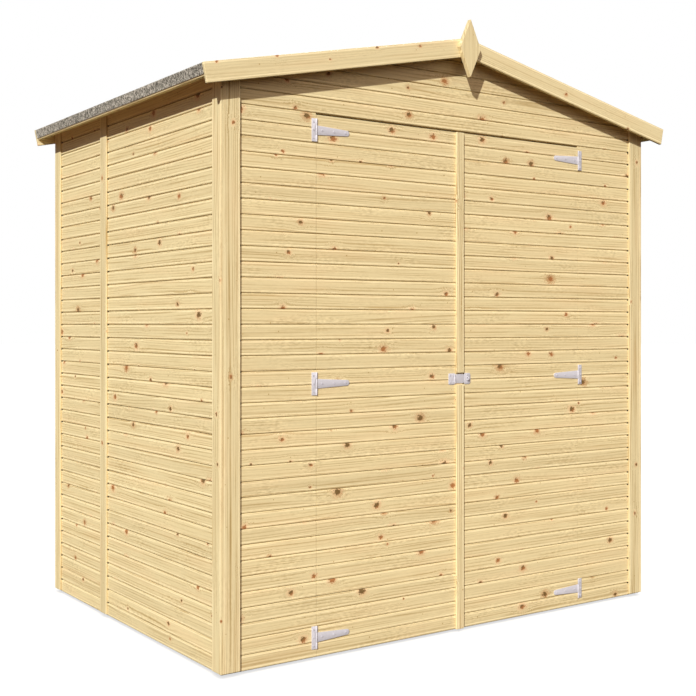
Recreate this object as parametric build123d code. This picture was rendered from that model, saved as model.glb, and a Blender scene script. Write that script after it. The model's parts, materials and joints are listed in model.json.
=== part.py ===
from build123d import *
import os
from math import atan2, cos, sin, tan

# Garden shed with an apex roof and a pair of doors in its front gable.
# Millimetres, +Z up. The doors face -Y and +X is to the right of someone who faces them.
# The origin lies on the ground below the middle of the shed's box.

# Walls, measured to the outer faces of the cladding
wall_width = 1934.0
wall_depth = 1428.0
cladding_thickness = 12.0
frame_depth = 28.0
frame_width = 45.0
ground_clearance = 8.0
panel_joint_gap = 2.0
side_joint_setback = 927.5

# Trims and cover strips on the cladding
trim_thickness = 7.0
gable_trim_width = 64.0
side_trim_width = 58.0
cover_strip_width = 58.0
trim_lift = 4.0

# Floor
bearer_count = 5
bearer_width = 45.0
bearer_height = 44.0
floor_thickness = 16.0
floor_door_clearance = 6.0

# Doors
door_head_height = 1800.0
door_head_gap = 6.0
hinge_line_span = 1226.0
hinge_side_gap = 5.0
meeting_gap = 6.0
meeting_strip_width = 35.0
meeting_strip_thickness = 8.0
meeting_strip_centre = 4.0
ledge_width = 70.0
ledge_inset = 24.0
brace_width = 60.0

# Tee hinges
hinge_from_foot = 65.0
hinge_from_head = 57.0
hinge_metal = 2.0
flange_width = 19.0
flange_height = 76.0
strap_length = 132.0
strap_root_width = 32.0
strap_tip_width = 19.0
barrel_radius = 2.4
barrel_stand_off = 0.6
pin_radius = 1.2
pin_clearance = 0.05
knuckle_clearance = 0.6

# Hasp and staple
hasp_plate_width = 29.0
hasp_plate_tall = 40.0
hasp_flap_tall = 33.0
hasp_left_reach = 46.0
hasp_knuckle_radius = 2.2
hasp_corner_radius = 3.0
hasp_strip_clearance = 1.0
keeper_width = 29.0
keeper_corner_radius = 8.0
staple_wire_radius = 1.8
staple_span = 11.0
staple_leg = 2.5

# Roof
wall_over_door = 105.6
eaves_overhang = 91.0
roof_rise = 223.4
deck_thickness = 12.0
felt_thickness = 3.0
felt_turn_down = 36.5
ridge_felt_width = 220.0
ridge_felt_setback = 20.0
eaves_batten_width = 28.0
eaves_batten_depth = 26.5
purlin_width = 28.0
purlin_depth = 70.0
barge_depth = 65.0
barge_thickness = 12.0
front_overhang = 52.0

# Finial
finial_width = 95.0
finial_height = 205.0
finial_thickness = 18.0
finial_drop = 39.0

# Places that follow from the sizes above
total_depth = front_overhang + finial_thickness + wall_depth + trim_thickness + barge_thickness
front_face = front_overhang + finial_thickness - total_depth / 2
back_face = front_face + wall_depth
front_lining = front_face + cladding_thickness
back_lining = back_face - cladding_thickness
front_frame_back = front_lining + frame_depth
back_frame_front = back_lining - frame_depth
wall_foot = ground_clearance
half_width = wall_width / 2
half_lining = half_width - cladding_thickness
half_room = half_lining - frame_depth
trim_half_width = half_width + trim_thickness
side_joint = front_face + side_joint_setback

head_z = wall_foot + door_head_height
roof_half_width = half_width + eaves_overhang
roof_thickness = felt_thickness + deck_thickness
pitch = atan2(roof_rise, roof_half_width)
slope_length = roof_half_width / cos(pitch)
ridge_z = head_z + wall_over_door + half_width * tan(pitch) + roof_thickness / cos(pitch)
roof_front = front_face - front_overhang + barge_thickness
roof_back = back_face + trim_thickness
purlin_foot = ridge_z - roof_thickness / cos(pitch) - purlin_depth

door_top = head_z - door_head_gap
hinge_x = hinge_line_span / 2
jamb_x = hinge_x + hinge_side_gap / 2
leaf_outer_x = hinge_x - hinge_side_gap / 2
left_leaf_edge = meeting_strip_centre + meeting_strip_width / 2
right_leaf_edge = left_leaf_edge + meeting_gap
axis_stand_off = barrel_radius + barrel_stand_off
foot_hinge_z = wall_foot + hinge_from_foot
head_hinge_z = head_z - hinge_from_head
middle_z = (foot_hinge_z + head_hinge_z) / 2
hinge_heights = (foot_hinge_z, middle_z, head_hinge_z)
rail_feet = (wall_foot, middle_z - frame_width / 2)


def block(x_span, y_span, z_span):
    """Box over three spans, each a low and a high value."""
    sizes = [high - low for low, high in (x_span, y_span, z_span)]
    lows = [low for low, high in (x_span, y_span, z_span)]
    return Pos(*lows) * Box(*sizes, align=(Align.MIN, Align.MIN, Align.MIN))


def prism(outline, y_span):
    """Prism with an outline in X and Z, drawn from front to back over a span of Y."""
    y_low, y_high = y_span
    face = make_face(Polyline([(x, y_low, z) for x, z in outline], close=True))
    return extrude(face, amount=y_high - y_low, dir=(0, 1, 0))


def mirrored(shape):
    """The same shape on the other side of the shed."""
    return mirror(shape, about=Plane.YZ)


def both_sides(shapes):
    """Shapes of the right side and their mirror images."""
    return shapes + [mirrored(shape) for shape in shapes]


def underside(x):
    """Height of the roof deck's underside at a distance from the middle."""
    return ridge_z - abs(x) * tan(pitch) - roof_thickness / cos(pitch)


def slope_point(along, depth):
    """Point on the right slope: along it from the ridge, and at a depth under the felt's top."""
    return (along * cos(pitch) - depth * sin(pitch), ridge_z - along * sin(pitch) - depth * cos(pitch))


def slope_layer(top, bottom, end, y_span):
    """Layer of the right slope between two depths, mitred at the ridge and square at its end."""
    outline = [slope_point(top * tan(pitch), top), slope_point(end, top)]
    outline += [slope_point(end, bottom), slope_point(bottom * tan(pitch), bottom)]
    return prism(outline, y_span)


def under_roof(x_span, y_span, z_low):
    """Upright piece on the right side whose top follows the roof's underside."""
    x_low, x_high = x_span
    outline = [(x_low, z_low), (x_high, z_low), (x_high, underside(x_high)), (x_low, underside(x_low))]
    return prism(outline, y_span)


def sloped_rail(x_span, y_span):
    """Rail on the right side that lies along the roof's underside."""
    x_low, x_high = x_span
    drop = frame_width / cos(pitch)
    outline = [(x_low, underside(x_low)), (x_high, underside(x_high))]
    outline += [(x_high, underside(x_high) - drop), (x_low, underside(x_low) - drop)]
    return prism(outline, y_span)


def floor_pieces():
    """Bearers on the ground and the deck that lies on them."""
    y_span = (front_frame_back + floor_door_clearance, back_frame_front)
    pitch_x = (2 * half_room - bearer_width) / (bearer_count - 1)
    lows = [index * pitch_x - half_room for index in range(bearer_count)]
    bearers = [block((low, low + bearer_width), y_span, (0, bearer_height)) for low in lows]
    deck = block((-half_room, half_room), y_span, (bearer_height, bearer_height + floor_thickness))
    return {"floor_bearers": bearers, "floor_deck": [deck]}


def gable_panels():
    """Cladding of the two gable ends, with the front one split beside and over the doorway."""
    front = (front_face, front_lining)
    beside_door = block((jamb_x, half_width), front, (wall_foot, head_z))
    corner_top = (half_width, underside(half_width))
    over_door = [(-half_width, head_z), (half_width, head_z), corner_top]
    over_door += [(0, underside(0)), (-half_width, underside(half_width))]
    back = under_roof((panel_joint_gap / 2, half_width), (back_lining, back_face), wall_foot)
    return {
        "front_left_wall": [mirrored(beside_door)],
        "front_right_wall": [beside_door],
        "front_gable": [prism(over_door, front)],
        "back_left_panel": [mirrored(back)],
        "back_right_panel": [back],
    }


def side_panels():
    """Cladding of the two sides: a long panel at the front and a short one at the rear."""
    x_span = (half_lining, half_width)
    front = under_roof(x_span, (front_lining, side_joint - panel_joint_gap / 2), wall_foot)
    rear = under_roof(x_span, (side_joint + panel_joint_gap / 2, back_lining), wall_foot)
    return {
        "left_front_panel": [mirrored(front)],
        "right_front_panel": [front],
        "left_rear_panel": [mirrored(rear)],
        "right_rear_panel": [rear],
    }


def side_frame():
    """Posts at the panels' ends on both sides, and the rails between them."""
    x_span = (half_room, half_lining)
    joint_front = side_joint - panel_joint_gap / 2
    joint_rear = side_joint + panel_joint_gap / 2
    post_starts = [front_lining, joint_front - frame_width, joint_rear, back_lining - frame_width]
    posts = [under_roof(x_span, (start, start + frame_width), wall_foot) for start in post_starts]
    bays = [(post_starts[0] + frame_width, post_starts[1]), (post_starts[2] + frame_width, post_starts[3])]
    rails = []
    for bay in bays:
        for foot in rail_feet:
            rails.append(block(x_span, bay, (foot, foot + frame_width)))
        rails.append(sloped_rail(x_span, bay))
    return {"side_wall_posts": both_sides(posts), "side_wall_rails": both_sides(rails)}


def gable_frame():
    """Posts and rails of the two gable ends, with the head rail over the doorway."""
    front = (front_lining, front_frame_back)
    back = (back_frame_front, back_lining)
    corner = (half_room - frame_width, half_room)
    jamb = (jamb_x, jamb_x + frame_width)
    middle = (panel_joint_gap / 2, panel_joint_gap / 2 + frame_width)
    posts = [under_roof(corner, front, wall_foot), under_roof(jamb, front, wall_foot)]
    posts += [under_roof(corner, back, wall_foot), block(middle, back, (wall_foot, purlin_foot))]
    rails = []
    for bay, y_span in (((jamb[1], corner[0]), front), ((middle[1], corner[0]), back)):
        for foot in rail_feet:
            rails.append(block(bay, y_span, (foot, foot + frame_width)))
    rails.append(sloped_rail((jamb[1], corner[0]), front))
    rails.append(sloped_rail((purlin_width / 2, jamb[0]), front))
    rails.append(sloped_rail((purlin_width / 2, corner[0]), back))
    head = block((-jamb_x, jamb_x), front, (head_z, head_z + frame_width))
    return {"gable_wall_posts": both_sides(posts), "gable_wall_rails": both_sides(rails) + [head]}


def trims():
    """Corner trims and the cover strips over the panel joints."""
    foot = wall_foot + trim_lift
    outside = (half_width, trim_half_width)
    front = (front_face - trim_thickness, front_face)
    back = (back_face, back_face + trim_thickness)
    side_spans = [(front[0], front[0] + side_trim_width), (back[1] - side_trim_width, back[1])]
    side_corners = [under_roof(outside, y_span, foot) for y_span in side_spans]
    gable_span = (half_width - gable_trim_width, half_width)
    gable_corners = [under_roof(gable_span, y_span, foot) for y_span in (front, back)]
    joint_span = (side_joint - cover_strip_width / 2, side_joint + cover_strip_width / 2)
    side_strip = under_roof(outside, joint_span, foot)
    strip_half = cover_strip_width / 2
    back_outline = [(-strip_half, foot), (strip_half, foot), (strip_half, underside(strip_half))]
    back_outline += [(0, underside(0)), (-strip_half, underside(strip_half))]
    return {
        "side_corner_trims": both_sides(side_corners),
        "gable_corner_trims": both_sides(gable_corners),
        "cover_strips": both_sides([side_strip]) + [prism(back_outline, back)],
    }


def roof():
    """Decks, felt, purlin and battens of the two slopes."""
    y_span = (roof_front, roof_back)
    deck_end = slope_length - felt_thickness
    deck = slope_layer(felt_thickness, roof_thickness, deck_end, y_span)
    felt_outline = [slope_point(0, 0), slope_point(slope_length, 0)]
    felt_outline += [slope_point(slope_length, felt_turn_down), slope_point(deck_end, felt_turn_down)]
    felt_outline += [slope_point(deck_end, felt_thickness)]
    felt_outline += [slope_point(felt_thickness * tan(pitch), felt_thickness)]
    felt = prism(felt_outline, y_span)
    ridge_span = (roof_front + ridge_felt_setback, roof_back - ridge_felt_setback)
    ridge_felt = slope_layer(-felt_thickness, 0, ridge_felt_width / 2, ridge_span)
    batten_outline = [slope_point(deck_end - eaves_batten_width, roof_thickness)]
    batten_outline += [slope_point(deck_end, roof_thickness)]
    batten_outline += [slope_point(deck_end, roof_thickness + eaves_batten_depth)]
    batten_outline += [slope_point(deck_end - eaves_batten_width, roof_thickness + eaves_batten_depth)]
    purlin_half = purlin_width / 2
    purlin_outline = [(-purlin_half, purlin_foot), (purlin_half, purlin_foot)]
    purlin_outline += [(purlin_half, underside(purlin_half)), (0, underside(0))]
    purlin_outline += [(-purlin_half, underside(purlin_half))]
    return {
        "left_roof_deck": [mirrored(deck)],
        "right_roof_deck": [deck],
        "left_roof_felt": [mirrored(felt)],
        "right_roof_felt": [felt],
        "ridge_felt": [ridge_felt + mirrored(ridge_felt)],
        "eaves_battens": both_sides([prism(batten_outline, y_span)]),
        "ridge_purlin": [prism(purlin_outline, (front_lining, back_lining))],
    }


def gable_ends():
    """Barge boards that close the roof's ends, and the finial over the front apex."""
    front = slope_layer(0, barge_depth, slope_length, (roof_front - barge_thickness, roof_front))
    rear = slope_layer(0, barge_depth, slope_length, (roof_back, roof_back + barge_thickness))
    finial_z = ridge_z - finial_drop
    rhombus = [(0, finial_z - finial_height / 2), (finial_width / 2, finial_z)]
    rhombus += [(0, finial_z + finial_height / 2), (-finial_width / 2, finial_z)]
    finial_back = roof_front - barge_thickness
    return {
        "front_left_barge": [mirrored(front)],
        "front_right_barge": [front],
        "rear_left_barge": [mirrored(rear)],
        "rear_right_barge": [rear],
        "finial": [prism(rhombus, (finial_back - finial_thickness, finial_back))],
    }


def knuckle(radius, z_span):
    """Upright round bar on the hinge axis."""
    z_low, z_high = z_span
    return Pos(0, 0, z_low) * Cylinder(radius, z_high - z_low, align=(Align.CENTER, Align.CENTER, Align.MIN))


def hinge_flange():
    """Fixed half of a tee hinge about its axis: plate, two knuckles and the pin through them."""
    half_tall = flange_height / 2
    half_middle = strap_root_width / 2 + knuckle_clearance
    face_span = (axis_stand_off - hinge_metal, axis_stand_off)
    room = barrel_radius + knuckle_clearance
    plate = block((-flange_width, 0), face_span, (-half_tall, half_tall))
    plate -= block((-room, 0), face_span, (-half_middle, half_middle))
    upper = knuckle(barrel_radius, (half_middle, half_tall))
    lower = knuckle(barrel_radius, (-half_tall, -half_middle))
    return plate + upper + lower + knuckle(pin_radius, (-half_tall, half_tall))


def hinge_strap():
    """Moving half of a tee hinge about its axis: knuckle and tapered strap with a round tip."""
    half_root = strap_root_width / 2
    half_tip = strap_tip_width / 2
    shoulder = strap_length - half_tip
    inner = axis_stand_off - hinge_metal
    edge = Polyline((shoulder, inner, half_tip), (0, inner, half_root), (0, inner, -half_root))
    edge += Line((0, inner, -half_root), (shoulder, inner, -half_tip))
    edge += ThreePointArc((shoulder, inner, -half_tip), (strap_length, inner, 0), (shoulder, inner, half_tip))
    strap = extrude(make_face(edge), amount=hinge_metal, dir=(0, 1, 0))
    strap += knuckle(barrel_radius, (-half_root, half_root))
    return strap - knuckle(pin_radius + pin_clearance, (-half_root, half_root))


def hung(shape):
    """A hinge half at each hinge height of the left door."""
    return [Pos(-hinge_x, front_face - axis_stand_off, height) * shape for height in hinge_heights]


def door_back(hinge_end, free_end):
    """Ledges behind a leaf, and the braces between them that lean up from the hinges to the free edge."""
    y_span = (front_lining, front_frame_back)
    x_span = (min(hinge_end, free_end), max(hinge_end, free_end))
    step = brace_width if free_end > hinge_end else -brace_width
    foot_ledge = foot_hinge_z - strap_root_width
    head_ledge = head_hinge_z + strap_root_width - ledge_width
    feet = (foot_ledge, middle_z - ledge_width / 2, head_ledge)
    ledges = [block(x_span, y_span, (foot, foot + ledge_width)) for foot in feet]
    braces = []
    for lower, upper in zip(feet, feet[1:]):
        lower_top = lower + ledge_width
        outline = [(hinge_end, lower_top), (hinge_end + step, lower_top)]
        outline += [(free_end, upper), (free_end - step, upper)]
        braces.append(prism(outline, y_span))
    return ledges, braces


def doors():
    """Two leaves with their backing, straps and the fixed halves of the hinges."""
    leaf_z = (wall_foot, door_top)
    leaf_y = (front_face, front_lining)
    left_span = (-leaf_outer_x, left_leaf_edge)
    right_span = (right_leaf_edge, leaf_outer_x)
    left_ledges, left_braces = door_back(left_span[0] + ledge_inset, left_span[1] - ledge_inset)
    right_ledges, right_braces = door_back(right_span[1] - ledge_inset, right_span[0] + ledge_inset)
    straps = hung(hinge_strap())
    return {
        "left_door_leaf": [block(left_span, leaf_y, leaf_z)],
        "left_door_ledges": left_ledges,
        "left_door_braces": left_braces,
        "left_hinge_straps": straps,
        "right_door_leaf": [block(right_span, leaf_y, leaf_z)],
        "right_door_ledges": right_ledges,
        "right_door_braces": right_braces,
        "right_hinge_straps": [mirrored(strap) for strap in straps],
        "hinge_flanges": both_sides(hung(hinge_flange())),
    }


def rounded_plate(x_span, tall, radius):
    """Plate with rounded corners on the doors' outer face, at the height of the hasp."""
    x_low, x_high = x_span
    outline = RectangleRounded(x_high - x_low, tall, radius)
    middle = Plane(origin=((x_low + x_high) / 2, front_face, middle_z), x_dir=(1, 0, 0), z_dir=(0, -1, 0))
    return extrude(middle * outline, amount=hinge_metal)


def staple(x_middle):
    """Bent wire eye that stands on the staple plate, its feet sunk half way into the plate."""
    foot_y = front_face - hinge_metal / 2
    bend_y = front_face - hinge_metal - staple_leg
    z_low = middle_z - staple_span / 2
    z_high = middle_z + staple_span / 2
    lower = Line((x_middle, foot_y, z_low), (x_middle, bend_y, z_low))
    crown = (x_middle, bend_y - staple_span / 2, middle_z)
    bend = ThreePointArc((x_middle, bend_y, z_low), crown, (x_middle, bend_y, z_high))
    upper = Line((x_middle, bend_y, z_high), (x_middle, foot_y, z_high))
    section = Plane(origin=lower @ 0, z_dir=lower % 0) * Circle(staple_wire_radius)
    return sweep(section, path=lower + bend + upper)


def hasp():
    """Hasp on the left leaf, staple plate on the right leaf, and the strip that covers the meeting edge."""
    hinge_line = hasp_plate_width - hasp_left_reach
    plate = rounded_plate((-hasp_left_reach, hinge_line), hasp_plate_tall, hasp_corner_radius)
    flap = rounded_plate((hinge_line, left_leaf_edge), hasp_flap_tall, hasp_corner_radius)
    roll = Cylinder(hasp_knuckle_radius, hasp_flap_tall)
    plate += [flap, Pos(hinge_line, front_face - hasp_knuckle_radius, middle_z) * roll]
    keeper_span = (right_leaf_edge, right_leaf_edge + keeper_width)
    keeper = rounded_plate(keeper_span, hasp_plate_tall, keeper_corner_radius)
    keeper += staple(right_leaf_edge + keeper_width / 2)
    strip_x = (left_leaf_edge - meeting_strip_width, left_leaf_edge)
    strip_y = (front_face - meeting_strip_thickness, front_face)
    cut = hasp_plate_tall / 2 + hasp_strip_clearance
    strip_spans = [(wall_foot, middle_z - cut), (middle_z + cut, door_top)]
    strips = [block(strip_x, strip_y, z_span) for z_span in strip_spans]
    return {"hasp_plate": [plate], "hasp_keeper": [keeper], "meeting_strip": strips}


def write(nodes):
    """One file for each node, holding its solids."""
    os.makedirs("parts", exist_ok=True)
    for name, shapes in nodes.items():
        solids = [solid for shape in shapes for solid in shape.solids()]
        export_step(Compound(children=solids), f"parts/{name}.step")


write(floor_pieces())
write(gable_panels())
write(side_panels())
write(side_frame())
write(gable_frame())
write(trims())
write(roof())
write(gable_ends())
write(doors())
write(hasp())
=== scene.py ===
"""Looks of a wooden garden shed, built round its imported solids.

Boards, trims, felt and fittings are modelled at their real size and place, in metres, +Z up, doors to -Y.
"""

import json
import logging
import math
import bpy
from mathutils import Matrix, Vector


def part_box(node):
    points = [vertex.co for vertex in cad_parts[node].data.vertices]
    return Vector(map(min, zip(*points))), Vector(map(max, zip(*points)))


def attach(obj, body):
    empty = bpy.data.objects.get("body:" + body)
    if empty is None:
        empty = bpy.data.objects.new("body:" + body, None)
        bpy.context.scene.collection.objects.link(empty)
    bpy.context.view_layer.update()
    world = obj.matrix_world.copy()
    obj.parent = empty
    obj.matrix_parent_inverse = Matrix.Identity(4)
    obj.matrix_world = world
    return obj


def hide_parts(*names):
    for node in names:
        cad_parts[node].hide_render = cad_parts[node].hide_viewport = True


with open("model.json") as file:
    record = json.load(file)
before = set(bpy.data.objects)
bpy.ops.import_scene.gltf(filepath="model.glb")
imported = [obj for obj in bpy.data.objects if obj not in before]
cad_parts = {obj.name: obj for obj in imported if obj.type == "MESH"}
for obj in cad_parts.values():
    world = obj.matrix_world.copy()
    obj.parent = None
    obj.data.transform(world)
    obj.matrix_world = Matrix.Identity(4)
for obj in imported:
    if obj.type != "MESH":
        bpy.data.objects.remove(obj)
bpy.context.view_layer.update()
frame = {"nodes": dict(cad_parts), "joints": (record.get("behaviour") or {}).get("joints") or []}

import zlib
from abc import ABC, abstractmethod
from collections.abc import Callable, Iterator
from contextlib import contextmanager
from dataclasses import dataclass
from enum import Enum
from typing import Any

import bmesh
import bpy
import numpy as np
from mathutils import Matrix, Vector

LOG = logging.getLogger("shed")
MM = 0.001
# Points nearer than this lie on one plane, and those nearer than the weld are one point
TOUCH = 0.1 * MM
WELD = 0.01 * MM
FLAT_ANGLE = 1.0
# Cosines above which two directions count as the same
LINED_UP = 0.99
FACING = 0.9
# Middle of a noise or a random draw, and how freely scattered spots leave the middle of their cells
MIDDLE = 0.5
SCATTER = 0.85
# Trims that lie over the boards
EDGING = ("side_corner_trims", "gable_corner_trims", "cover_strips")

Colour = tuple[float, float, float]
Point = tuple[float, float, float]
Span = tuple[float, float]
WHITE: Colour = (1.0, 1.0, 1.0)


class Body(Enum):
    """Bodies that the pieces ride on."""

    SHED = "shed"
    LEFT_DOOR = "left_door"
    RIGHT_DOOR = "right_door"


class Slot(Enum):
    """Finishes that the record names."""

    CLADDING = "pine_cladding"
    TRIM = "planed_trim"
    FRAMING = "sawn_framing"
    BOARDS = "plain_boards"
    FELT = "mineral_felt"
    ZINC = "zinc_fittings"


class Face(Enum):
    """Outward direction of a wall."""

    FRONT = (0, -1, 0)
    BACK = (0, 1, 0)
    LEFT = (-1, 0, 0)
    RIGHT = (1, 0, 0)

    @property
    def outward(self) -> Vector:
        """Unit vector out of the wall."""
        return Vector(self.value)

    @property
    def along(self) -> Vector:
        """Unit vector along the wall's boards."""
        return Vector((abs(self.value[1]), abs(self.value[0]), 0))


class Side(Enum):
    """Side of the ridge, as the sign of its X."""

    LEFT = -1
    RIGHT = 1


class Pick(Enum):
    """What edit mode selects."""

    POINTS = "VERT"
    EDGES = "EDGE"
    FACES = "FACE"


class Workbench:
    """Modelling with Blender's operators, one piece at a time."""

    @staticmethod
    def take(piece: bpy.types.Object) -> None:
        """Select one piece alone and make it active."""
        bpy.ops.object.select_all(action="DESELECT")
        piece.select_set(True)
        bpy.context.view_layer.objects.active = piece

    @staticmethod
    def named(name: str) -> bpy.types.Object:
        """Name the primitive just added and put its place and size into its mesh."""
        piece = bpy.context.active_object
        piece.name = name
        piece.data.name = name
        bpy.ops.object.transform_apply(location=True, rotation=True, scale=True)
        return piece

    @staticmethod
    def block(name: str, low: Vector, high: Vector) -> bpy.types.Object:
        """Add a block.

        Args:
            name: The piece's name.
            low: Its lowest corner.
            high: Its highest corner.

        Returns:
            The new piece.
        """
        bpy.ops.object.select_all(action="DESELECT")
        bpy.ops.mesh.primitive_cube_add(size=1.0, location=(low + high) / 2)
        bpy.context.active_object.scale = high - low
        return Workbench.named(name)

    @staticmethod
    def disc(name: str, radius: float, thickness: float, sides: int) -> bpy.types.Object:
        """Add a round disc that stands on the origin, its axis along Z.

        Args:
            name: The piece's name.
            radius: Radius of the disc.
            thickness: Height of the disc.
            sides: Number of sides round it.

        Returns:
            The new piece.
        """
        bpy.ops.object.select_all(action="DESELECT")
        place = (0, 0, thickness / 2)
        bpy.ops.mesh.primitive_cylinder_add(vertices=sides, radius=radius, depth=thickness, location=place)
        return Workbench.named(name)

    @staticmethod
    def copy_of(node: str, name: str) -> bpy.types.Object:
        """Copy a solid's mesh into a new piece, with its loose triangles merged into faces.

        Args:
            node: The solid's node.
            name: The new piece's name.

        Returns:
            The new piece.
        """
        mesh = frame["nodes"][node].data.copy()
        mesh.materials.clear()
        piece = bpy.data.objects.new(name, mesh)
        mesh.name = name
        bpy.context.scene.collection.objects.link(piece)
        with Workbench.edit(piece, Pick.FACES):
            bpy.ops.mesh.select_all(action="SELECT")
            bpy.ops.mesh.remove_doubles(threshold=WELD)
            bpy.ops.mesh.dissolve_limited(angle_limit=math.radians(FLAT_ANGLE))
        return piece

    @staticmethod
    @contextmanager
    def edit(piece: bpy.types.Object, pick: Pick) -> Iterator[None]:
        """Work on a piece in edit mode, with nothing selected at first.

        Args:
            piece: The piece to open.
            pick: What is selected there.
        """
        Workbench.take(piece)
        bpy.ops.object.mode_set(mode="EDIT")
        bpy.ops.mesh.select_mode(type=pick.value)
        bpy.ops.mesh.select_all(action="DESELECT")
        yield
        bpy.ops.object.mode_set(mode="OBJECT")

    @staticmethod
    def choose(piece: bpy.types.Object, pick: Pick, test: Callable[[Any], bool]) -> None:
        """Select the points, edges or faces of the open piece that pass a test.

        Args:
            piece: The piece in edit mode.
            pick: Points, edges or faces.
            test: Says whether one of them is wanted.
        """
        bpy.ops.mesh.select_mode(type=pick.value)
        bpy.ops.mesh.select_all(action="DESELECT")
        mesh = bmesh.from_edit_mesh(piece.data)
        mesh.normal_update()
        parts = {Pick.POINTS: mesh.verts, Pick.EDGES: mesh.edges, Pick.FACES: mesh.faces}
        for part in parts[pick]:
            if test(part):
                part.select_set(True)
        mesh.select_flush_mode()
        bmesh.update_edit_mesh(piece.data)

    @staticmethod
    def ease(piece: bpy.types.Object, test: Callable[[Any], bool], width: float, segments: int = 1) -> None:
        """Bevel chosen edges.

        Args:
            piece: The piece to work on.
            test: Says whether one edge is bevelled.
            width: Distance that the bevel takes from each face.
            segments: Number of facets in the bevel.
        """
        with Workbench.edit(piece, Pick.EDGES):
            Workbench.choose(piece, Pick.EDGES, test)
            bpy.ops.mesh.bevel(offset=width, offset_type="OFFSET", segments=segments, affect="EDGES")

    @staticmethod
    def raise_faces(piece: bpy.types.Object, test: Callable[[Any], bool], move: Vector) -> None:
        """Extrude chosen faces.

        Args:
            piece: The piece to work on.
            test: Says whether one face is extruded.
            move: How far, and which way.
        """
        with Workbench.edit(piece, Pick.FACES):
            Workbench.choose(piece, Pick.FACES, test)
            bpy.ops.mesh.extrude_region_move(TRANSFORM_OT_translate={"value": move})

    @staticmethod
    def shift(piece: bpy.types.Object, test: Callable[[Any], bool], move: Vector) -> None:
        """Move chosen points of a piece.

        Args:
            piece: The piece to work on.
            test: Says whether one point is moved.
            move: How far, and which way.
        """
        with Workbench.edit(piece, Pick.POINTS):
            Workbench.choose(piece, Pick.POINTS, test)
            bpy.ops.transform.translate(value=move)

    @staticmethod
    def score(piece: bpy.types.Object, point: Vector, across: Vector) -> None:
        """Add a line of edges where a plane crosses the piece."""
        with Workbench.edit(piece, Pick.FACES):
            bpy.ops.mesh.select_all(action="SELECT")
            bpy.ops.mesh.bisect(plane_co=point, plane_no=across)

    @staticmethod
    def cut(piece: bpy.types.Object, point: Vector, outward: Vector) -> None:
        """Saw a piece along a plane, drop what lies outward of it and close the sawn ends."""
        with Workbench.edit(piece, Pick.FACES):
            bpy.ops.mesh.select_all(action="SELECT")
            bpy.ops.mesh.bisect(plane_co=point, plane_no=outward, use_fill=True, clear_outer=True)

    @staticmethod
    def modify(piece: bpy.types.Object, kind: str, **settings: Any) -> None:
        """Add a modifier and apply it.

        Args:
            piece: The piece to work on.
            kind: The modifier's type.
            settings: Values of the modifier's properties.
        """
        Workbench.take(piece)
        modifier = piece.modifiers.new(kind.title(), kind)
        for key, value in settings.items():
            setattr(modifier, key, value)
        bpy.ops.object.modifier_apply(modifier=modifier.name)

    @staticmethod
    def round_edges(piece: bpy.types.Object, width: float, segments: int, sharp: float) -> None:
        """Bevel every edge that turns by more than an angle.

        Args:
            piece: The piece to work on.
            width: Distance that the bevel takes from each face.
            segments: Number of facets in the bevel.
            sharp: The angle, in degrees.
        """
        limit = {"limit_method": "ANGLE", "angle_limit": math.radians(sharp)}
        Workbench.modify(piece, "BEVEL", width=width, segments=segments, **limit)

    @staticmethod
    def level_at(part: Any, height: float) -> bool:
        """Tell whether an edge or a face lies level at a height."""
        return all(abs(vert.co.z - height) < TOUCH for vert in part.verts)

    @staticmethod
    def repeat(piece: bpy.types.Object, count: int, step: Vector) -> None:
        """Turn one piece into a row of copies, a step apart."""
        apart = {"use_relative_offset": False, "use_constant_offset": True}
        Workbench.modify(piece, "ARRAY", count=count, constant_offset_displace=step, **apart)

    @staticmethod
    def place(piece: bpy.types.Object, where: Matrix) -> None:
        """Move and turn a piece, and put its place into its mesh."""
        Workbench.take(piece)
        piece.matrix_world = where
        bpy.ops.object.transform_apply(location=True, rotation=True, scale=True)

    @staticmethod
    def join(pieces: list[bpy.types.Object], name: str) -> bpy.types.Object:
        """Join several pieces into one.

        Args:
            pieces: The pieces, the first of which takes in the rest.
            name: Name of the joined piece.

        Returns:
            The joined piece.
        """
        Workbench.take(pieces[0])
        for piece in pieces[1:]:
            piece.select_set(True)
        bpy.ops.object.join()
        pieces[0].name = name
        pieces[0].data.name = name
        return pieces[0]


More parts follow.
